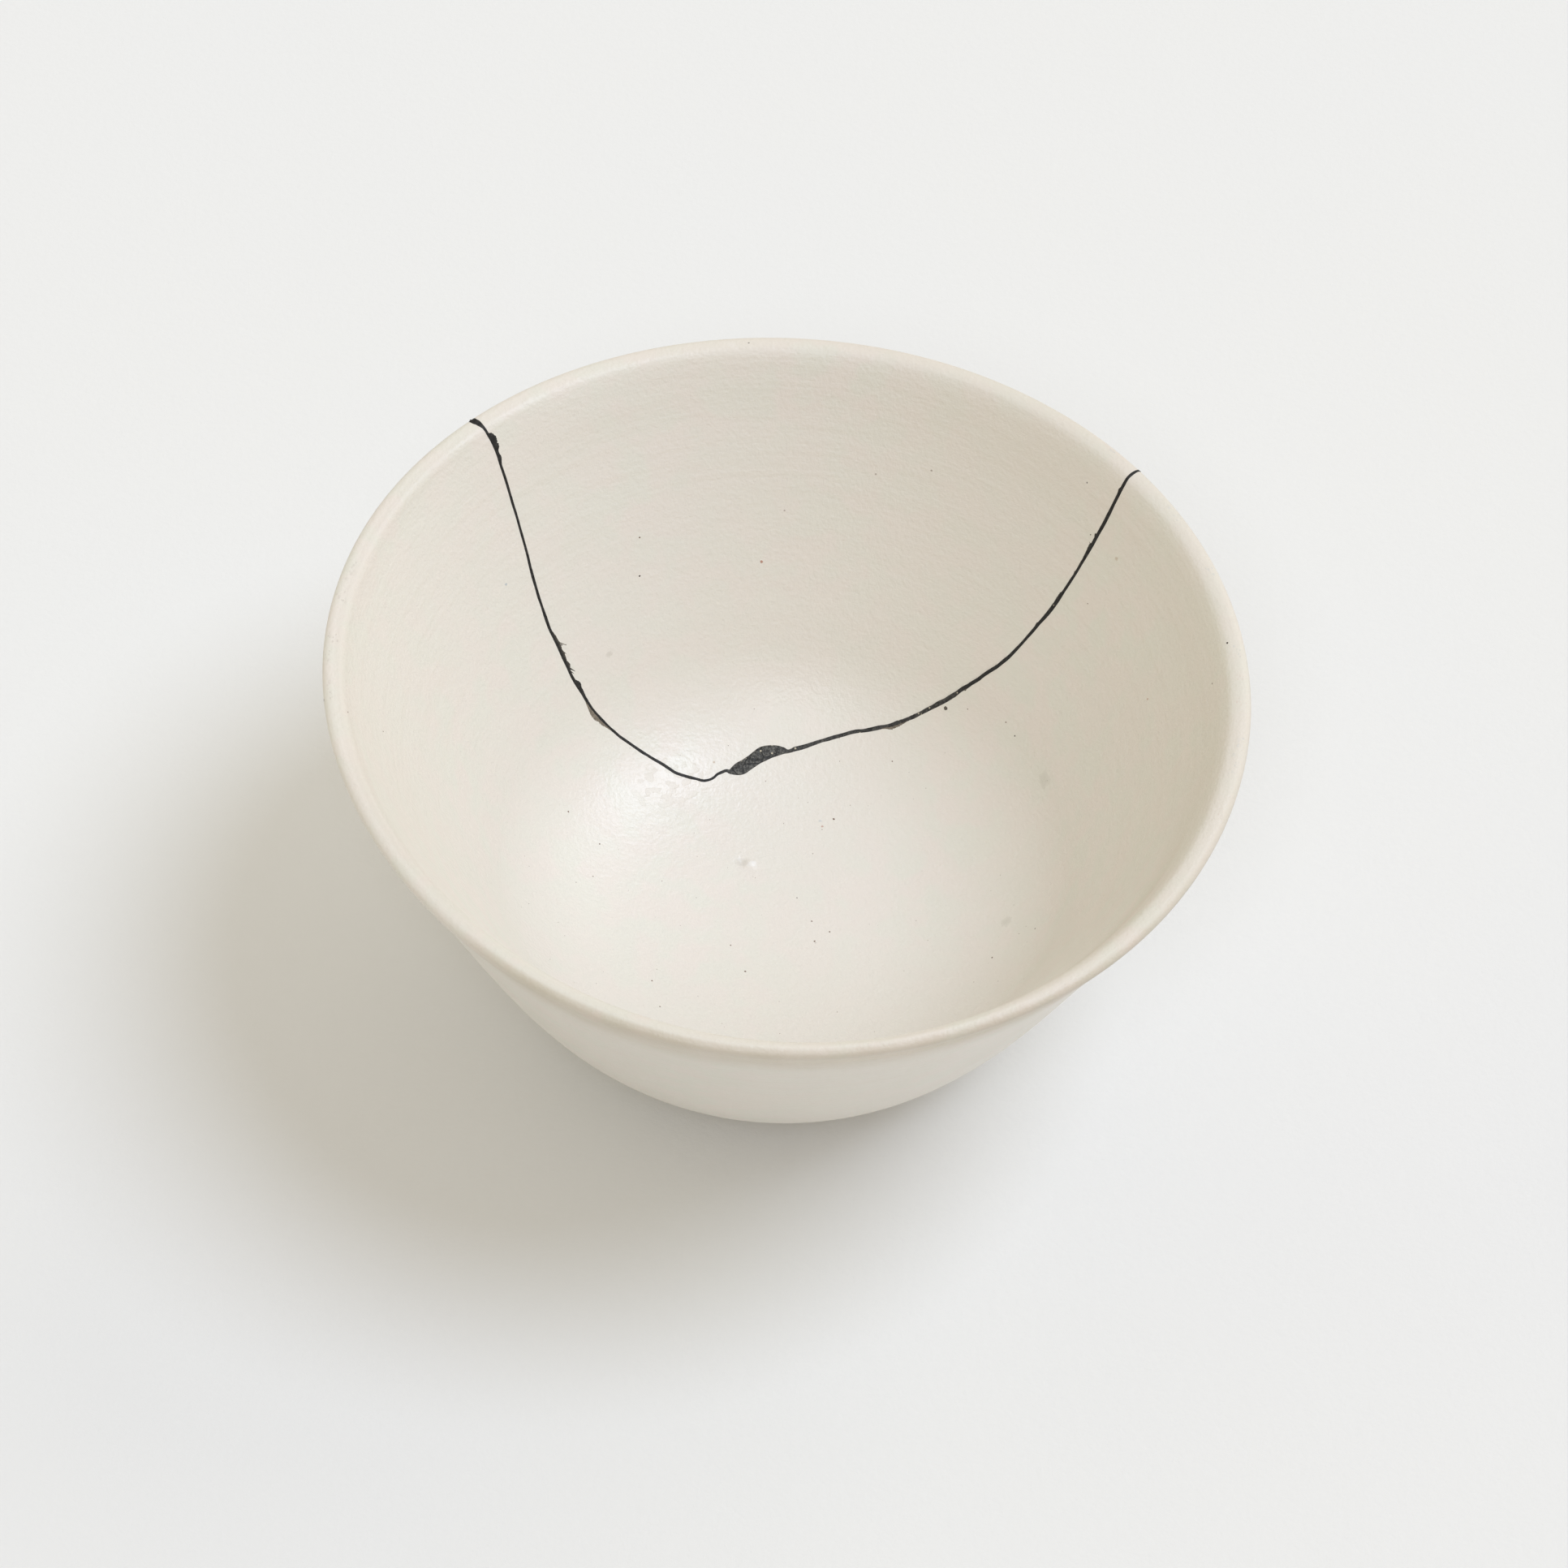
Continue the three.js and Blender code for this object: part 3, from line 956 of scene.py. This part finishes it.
def whisker(start_x, start_y, end_x, end_y, width):
    """A tapering thread of filler on the glaze, raised along its middle."""
    start, end = np.array([start_x, start_y]), np.array([end_x, end_y])
    along = (end - start) / np.linalg.norm(end - start)
    across = np.array([-along[1], along[0]])
    columns = (-1, 0, 1)
    places = []
    for share in np.linspace(0, 1, WHISKER_STEPS):
        half = width / 2 * (1 - share) + WHISKER_TIP
        for u in columns:
            place, normal = surface_point(*(start + (end - start) * share + across * half * u))
            places.append(place + normal * (WHISKER_HEIGHT if u == 0 else -WHISKER_SINK))
    return places, strip_faces(WHISKER_STEPS, len(columns))


def drop(x, y, radius):
    """A drop of filler on the glaze."""
    places, faces, _ = patch(
        x, y, radius, radius * DROP_NARROWING, DROP_HEIGHT, DROP_STEPS, DROP_RINGS
    )
    return places, faces


def filler_piece(line, sideways, material):
    """The mend: its sheet, the films beside it and a few drops, with the grit and haze of each place."""
    parts = [seam_sheet(line, sideways)]
    hazes = [0.0]
    for side, haze, reaches in FRINGES:
        parts.append(fringe(line, sideways, side, reaches))
        hazes.append(haze)
    for *ends, width, haze in WHISKERS:
        parts.append(whisker(*ends, width))
        hazes.append(haze)
    for x, y, radius, haze in DROPS:
        parts.append(drop(x, y, radius))
        hazes.append(haze)
    places, faces = joined(parts)
    piece = mesh_object("black_mend", places, faces, material)
    haze = np.repeat(hazes, [len(part_places) for part_places, _ in parts])
    keep_values(piece, "grit", np.array([grit(place[0]) for place in places]) * (haze == 0))
    keep_values(piece, "haze", haze)
    return piece


def placed_marks():
    """The marks that have a place: x, y, half length, half width, how strong, colour."""
    wanted = []
    for x, y, size, strong, shade in MARKS:
        width = size * rng.uniform(*MARK_WIDENING)
        strength = min(1.0, strong * MARK_STRENGTHENING)
        wanted.append((x, y, size * MARK_LENGTHENING, width, strength, shade))
    return wanted


def scuff_marks():
    """The flecks of every scuff, as placed_marks gives them."""
    wanted = []
    for azimuth, radius, length, strong, shade in SCUFFS:
        for _ in range(SCUFF_FLECKS):
            theta = math.radians(azimuth + rng.normal() * length)
            rim = radius + rng.normal() * FLECK_SPREAD
            size = length * rng.uniform(*FLECK_LENGTHS)
            strength = strong * rng.uniform(*FLECK_STRENGTHS)
            place = (rim * math.cos(theta), rim * math.sin(theta))
            wanted.append((*place, size, size * FLECK_NARROWING, strength, shade))
    return wanted


def fine_specks():
    """Scattered iron specks, as placed_marks gives them."""
    wanted = []
    for _ in range(SPECKS):
        theta = rng.uniform(0, 2 * math.pi)
        radius = SPECK_REACH * math.sqrt(rng.uniform(*SPECK_CROWDING))
        size = rng.uniform(*SPECK_SIZES)
        strength = rng.uniform(*SPECK_STRENGTHS)
        place = (radius * math.cos(theta), radius * math.sin(theta) + SPECK_SHIFT)
        wanted.append((*place, size, size, strength, IRON))
    return wanted


def glaze_marks_and_highlights(material):
    """Iron specks, smudges, rim scuffs and two painted highlights as shallow patches that fade into the
    glaze at their edges.
    """
    parts, strengths, shades = [], [], []
    for x, y, length, width, strong, shade in placed_marks() + scuff_marks() + fine_specks():
        steps, rings, sharpness = SMALL_PATCH if length < SMALL_MARK else LARGE_PATCH
        places, faces, nearness = patch(x, y, length, width, MARK_HEIGHT, steps, rings)
        parts.append((places, faces))
        strengths.extend(strong * min(1.0, near * sharpness) for near in nearness)
        shades.extend(colour(*shade) for _ in nearness)
    piece = mesh_object("glaze_marks_and_highlights", *joined(parts), material)
    keep_values(piece, "mark", strengths)
    tint = piece.data.attributes.new("mark_colour", "FLOAT_COLOR", "POINT")
    tint.data.foreach_set("color", np.array(shades).ravel())
    return piece


def colour(red, green, blue):
    return (red, green, blue, 1.0)


class Nodes:
    """Short calls for making and joining a material's nodes."""

    def __init__(self, name):
        self.material = bpy.data.materials.new(name)
        self.material.use_nodes = True
        self.tree = self.material.node_tree
        self.shader = self.tree.nodes["Principled BSDF"]
        self.place = self.add("ShaderNodeTexCoord").outputs["Object"]

    def add(self, kind, inputs=(), **settings):
        node = self.tree.nodes.new(kind)
        for key, value in settings.items():
            setattr(node, key, value)
        for key, value in dict(inputs).items():
            self.put(node.inputs[key], value)
        return node

    def put(self, socket, value):
        if isinstance(value, bpy.types.NodeSocket):
            self.tree.links.new(value, socket)
        else:
            socket.default_value = value

    def kept(self, name, output="Fac"):
        """A value that a piece keeps at its vertices."""
        return self.add("ShaderNodeAttribute", attribute_name=name).outputs[output]

    def math(self, operation, *values):
        return self.add("ShaderNodeMath", enumerate(values), operation=operation).outputs[0]

    def product(self, first, *others):
        result = first
        for value in others:
            result = self.math("MULTIPLY", result, value)
        return result

    def ramp(self, value, low, high, to_low=0.0, to_high=1.0):
        """A smooth step between two limits."""
        inputs = {0: value, 1: low, 2: high, 3: to_low, 4: to_high}
        return self.add("ShaderNodeMapRange", inputs, interpolation_type="SMOOTHSTEP").outputs[0]

    def noise(self, size, detail, roughness=0.5, place=None):
        """Noise with features of about a size in metres, from 0 to 1."""
        inputs = {
            "Vector": place or self.place,
            "Scale": 1 / size,
            "Detail": detail,
            "Roughness": roughness,
        }
        return self.add("ShaderNodeTexNoise", inputs).outputs[0]

    def cells(self, spacing, feature):
        """Cells about a spacing in metres across."""
        inputs = {"Vector": self.place, "Scale": 1 / spacing}
        return self.add("ShaderNodeTexVoronoi", inputs, feature=feature).outputs

    def mix(self, factor, first, second, blend="MIX"):
        node = self.add("ShaderNodeMix", data_type="RGBA", blend_type=blend)
        self.put(node.inputs[0], factor)
        self.put(node.inputs[6], first)
        self.put(node.inputs[7], second)
        return node.outputs[2]

    def bump(self, height, distance, before=None):
        inputs = {"Height": height, "Distance": distance, "Strength": 1.0}
        if before:
            inputs["Normal"] = before
        return self.add("ShaderNodeBump", inputs).outputs[0]


def mottled_glaze(n, height, lines):
    """Faint mottling of the glaze, with turning streaks that grow up the wall."""
    base = colour(*GLAZE_ROSE)
    for size, detail, limits, tone in MOTTLING:
        base = n.mix(n.ramp(n.noise(size, detail), *limits), base, colour(*tone))
    streak = n.product(n.ramp(lines, *STREAK_LINES), n.ramp(height, *STREAK_HEIGHT))
    return n.mix(streak, base, colour(*STREAK_TONE), "MULTIPLY")


def lip_glaze_and_shade(n, x, y, radius, height):
    """The lip darker: a thinner glaze with painted shade over its lit top, more at the right and the
    front than at the left.
    """
    thin = n.math("MAXIMUM", n.ramp(x, *LIP_TO_RIGHT), n.ramp(y, *LIP_TO_FRONT))
    return n.product(n.ramp(radius, *LIP_RADII), n.ramp(height, *LIP_HEIGHTS), thin)


def painted_ridge_shade(n, x, radius, height):
    """Painted shade over the lip's inner ridge at the left, dimming the light it catches."""
    return n.product(
        n.ramp(radius, *RIDGE_RADIUS_IN),
        n.ramp(height, *RIDGE_HEIGHT),
        n.ramp(radius, *RIDGE_RADIUS_OUT),
        n.ramp(x, *RIDGE_TO_LEFT),
    )


def painted_face_shade(n, x, y, radius, height):
    """Painted shade on the lip's outer face and the wall under it: patchy, at the front, and not at the
    left.
    """
    outward = n.ramp(n.math("SUBTRACT", radius, height), *FACE_OUTWARD)
    face = n.product(outward, n.ramp(height, *FACE_HEIGHT))
    patchy = n.product(
        n.ramp(y, *FACE_TO_FRONT),
        n.ramp(n.noise(*FACE_NOISE), *FACE_PATCHES),
        n.ramp(x, *FACE_TO_RIGHT),
    )
    return n.product(face, patchy)


def glaze_colour(n, x, y, radius, height, lines):
    """Base colour: mottled glaze, a thinner lip, painted shade on the lip's top, inner ridge and outer
    face, bare clay under the foot, and the marks, two of them painted highlights.
    """
    base = mottled_glaze(n, height, lines)
    # The lip: a thinner glaze with painted shade over its lit top
    base = n.mix(lip_glaze_and_shade(n, x, y, radius, height), base, colour(*LIP_GLAZE_AND_SHADE_TONE), "MULTIPLY")
    # Painted shade over the lip's inner ridge at the left
    base = n.mix(painted_ridge_shade(n, x, radius, height), base, colour(*RIDGE_SHADE), "MULTIPLY")
    # Painted shade on the lip's outer face and the wall under it
    base = n.mix(painted_face_shade(n, x, y, radius, height), base, colour(*FACE_SHADE), "MULTIPLY")
    under = n.product(n.ramp(height, *CLAY_HEIGHT), n.ramp(radius, *CLAY_RADIUS))
    base = n.mix(under, base, colour(*BARE_CLAY))
    return n.mix(n.kept("mark"), base, n.kept("mark_colour", "Color"))


def pitted_share(n, x, y):
    """Shallow pits within their cluster."""
    from_x, from_y = n.math("SUBTRACT", x, PITTED[0]), n.math("SUBTRACT", y, PITTED[1])
    squares = n.math("ADD", n.math("POWER", from_x, 2.0), n.math("POWER", from_y, 2.0))
    near = n.ramp(n.math("SQRT", squares), PITTED_REACH * PITTED_FULL, PITTED_REACH, 1.0, 0.0)
    return n.product(near, n.ramp(n.noise(*PITS), *PIT_LIMITS))


def glaze_relief(n, height, lines, pits):
    """Normal of the glaze: eggshell surface, soft ripples, turning lines and pits."""
    normal = n.bump(n.noise(*EGGSHELL), EGGSHELL_DEPTH)
    normal = n.bump(n.noise(*RIPPLES), RIPPLE_DEPTH, normal)
    turning = n.product(lines, n.ramp(height, *TURNING_HEIGHT))
    normal = n.bump(turning, TURNING_DEPTH, normal)
    return n.bump(pits, PIT_DEPTH, normal)


def glaze_material():
    """Matt cream glaze: eggshell surface, turning lines, and a small pitted cluster."""
    n = Nodes("cream_glaze")
    x, y, _ = n.add("ShaderNodeSeparateXYZ", {0: n.place}).outputs
    radius, height = n.kept("ring_radius"), n.kept("ring_height")
    run = n.math("ADD", radius, height)
    drift = {0: n.product(x, TURNING_DRIFT), 1: n.product(y, TURNING_DRIFT), 2: run}
    turned = n.add("ShaderNodeCombineXYZ", drift).outputs[0]
    lines = n.noise(*TURNING_LINES, turned)
    pits = pitted_share(n, x, y)
    rough = n.ramp(n.noise(*GLOSS_NOISE), *GLAZE_ROUGHNESS)
    rough = n.math("ADD", rough, n.ramp(height, *LIP_ROUGHER))
    rough = n.math("ADD", rough, n.product(pits, PITS_ROUGHER))
    n.put(n.shader.inputs["Base Color"], glaze_colour(n, x, y, radius, height, lines))
    n.put(n.shader.inputs["Roughness"], rough)
    n.put(n.shader.inputs["Normal"], glaze_relief(n, height, lines, pits))
    n.shader.inputs["Specular IOR Level"].default_value = GLAZE_SPECULAR
    return n.material


def cracked(n, base, gritty):
    """Dark cracks through the gritty filler."""
    edges = n.cells(CRACK_SPACING, "DISTANCE_TO_EDGE")["Distance"]
    return n.mix(n.product(gritty, n.ramp(edges, *CRACK_LIMITS)), base, colour(*CRACK))


def with_bright_grains(n, base, gritty):
    """A few bright grains in the gritty filler."""
    spots = n.cells(GLINT_SPACING, "F1")
    bright = n.ramp(spots["Distance"], *GLINT_EDGE)
    pick = n.add("ShaderNodeSeparateColor", {0: spots["Color"]}).outputs[0]
    few = n.product(n.ramp(gritty, *GLINT_GRIT), n.ramp(pick, *GLINT_PICK))
    return n.mix(n.product(bright, few), base, colour(*GLINT))


def filler_material():
    """Black filler: satin where it is thin, grey and granular with bright grains where it is wide."""
    n = Nodes("black_filler")
    grain = n.noise(*GRAIN)
    gritty = n.kept("grit")
    dusty = n.ramp(n.noise(*DUST), *DUST_LIMITS)
    blur = n.product(n.kept("haze"), n.ramp(n.noise(*HAZE_NOISE), *HAZE_LIMITS))
    base = n.mix(n.ramp(grain, *GRAIN_LIMITS), colour(*FILLER_BLACK), colour(*FILLER_GREY))
    base = n.mix(gritty, base, n.mix(dusty, colour(*DUST_DARK), colour(*DUST_PALE)))
    base = cracked(n, base, gritty)
    base = with_bright_grains(n, base, gritty)
    n.put(n.shader.inputs["Base Color"], n.mix(blur, base, colour(*HAZE)))
    n.put(n.shader.inputs["Roughness"], n.ramp(grain, *FILLER_ROUGHNESS))
    n.put(n.shader.inputs["Normal"], n.bump(grain, GRAIN_DEPTH))
    n.shader.inputs["Specular IOR Level"].default_value = FILLER_SPECULAR
    return n.material


def paper_material():
    """Pale matt paper with faint clouds and fibres."""
    n = Nodes("pale_paper")
    clouds = n.ramp(n.noise(*PAPER_CLOUDS), *PAPER_LIMITS)
    fibre = n.noise(*FIBRES)
    n.put(n.shader.inputs["Base Color"], n.mix(clouds, colour(*PAPER), colour(*PAPER_COOL)))
    n.put(n.shader.inputs["Normal"], n.bump(fibre, FIBRES_DEPTH))
    n.shader.inputs["Roughness"].default_value = PAPER_ROUGHNESS
    n.shader.inputs["Specular IOR Level"].default_value = PAPER_SPECULAR
    return n.material


def make_floor():
    signs = ((-1, -1), (1, -1), (1, 1), (-1, 1))
    corners = [(x * FLOOR_REACH, y * FLOOR_REACH, 0) for x, y in signs]
    floor = mesh_object("floor", corners, [(0, 1, 2, 3)], paper_material())


def make_camera():
    elevation, roll = math.radians(CAMERA_ELEVATION), math.radians(CAMERA_ROLL)
    forward = Vector((0, math.cos(elevation), -math.sin(elevation)))
    right = Vector((1, 0, 0))
    up = right.cross(forward)
    turned_right = right * math.cos(roll) + up * math.sin(roll)
    turned_up = up * math.cos(roll) - right * math.sin(roll)
    data = bpy.data.cameras.new("photo_camera")
    camera = bpy.data.objects.new("photo_camera", data)
    bpy.context.collection.objects.link(camera)
    axes = Matrix((turned_right, turned_up, -forward)).transposed()
    place = (Vector(CAMERA_AIM) - forward * CAMERA_DISTANCE) * MM
    camera.matrix_world = Matrix.Translation(place) @ axes.to_4x4()
    data.sensor_fit = "HORIZONTAL"
    data.sensor_width = CAMERA_SENSOR
    data.lens = data.sensor_width * CAMERA_PIXELS_PER_MM * CAMERA_DISTANCE / PHOTO_SIZE
    middle = PHOTO_SIZE / 2
    data.shift_x = (middle - AIM_PIXEL[0]) / PHOTO_SIZE
    data.shift_y = (AIM_PIXEL[1] - middle) / PHOTO_SIZE
    data.clip_start = CAMERA_NEAREST * MM
    bpy.context.scene.camera = camera


def make_lamp(name, elevation, azimuth, spread, strength):
    lamp = bpy.data.lights.new(name, "SUN")
    lamp.energy = max(strength)
    lamp.color = [share / lamp.energy for share in strength]
    lamp.angle = math.radians(spread)
    light = bpy.data.objects.new(name, lamp)
    light.rotation_euler = (math.radians(90 - elevation), 0, math.radians(azimuth + 90))
    bpy.context.collection.objects.link(light)


def make_light():
    scene = bpy.context.scene
    world = scene.world or bpy.data.worlds.new("studio")
    scene.world = world
    world.use_nodes = True
    background = world.node_tree.nodes["Background"]
    background.inputs["Color"].default_value = colour(*ROOM_LIGHT)
    background.inputs["Strength"].default_value = 1.0
    for name, lamp in LAMPS.items():
        make_lamp(name, *lamp)
    scene.view_settings.view_transform = "Standard"


glaze = glaze_material()
filler = filler_material()
make_camera()
make_light()
make_floor()

line, sideways = break_line()
body, shard = ceramic_pieces(line, sideways, glaze)
seam = filler_piece(line, sideways, filler)
marks = glaze_marks_and_highlights(glaze)
for piece in (body, shard, marks):
    keep_section_places(piece)

for piece, node, slot in (
    (body, "bowl_body", "cream_glaze"),
    (shard, "rejoined_shard", "cream_glaze"),
    (seam, "black_mend_seam", "black_filler"),
):
    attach(piece, "root")
    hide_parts(node)
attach(marks, "root")
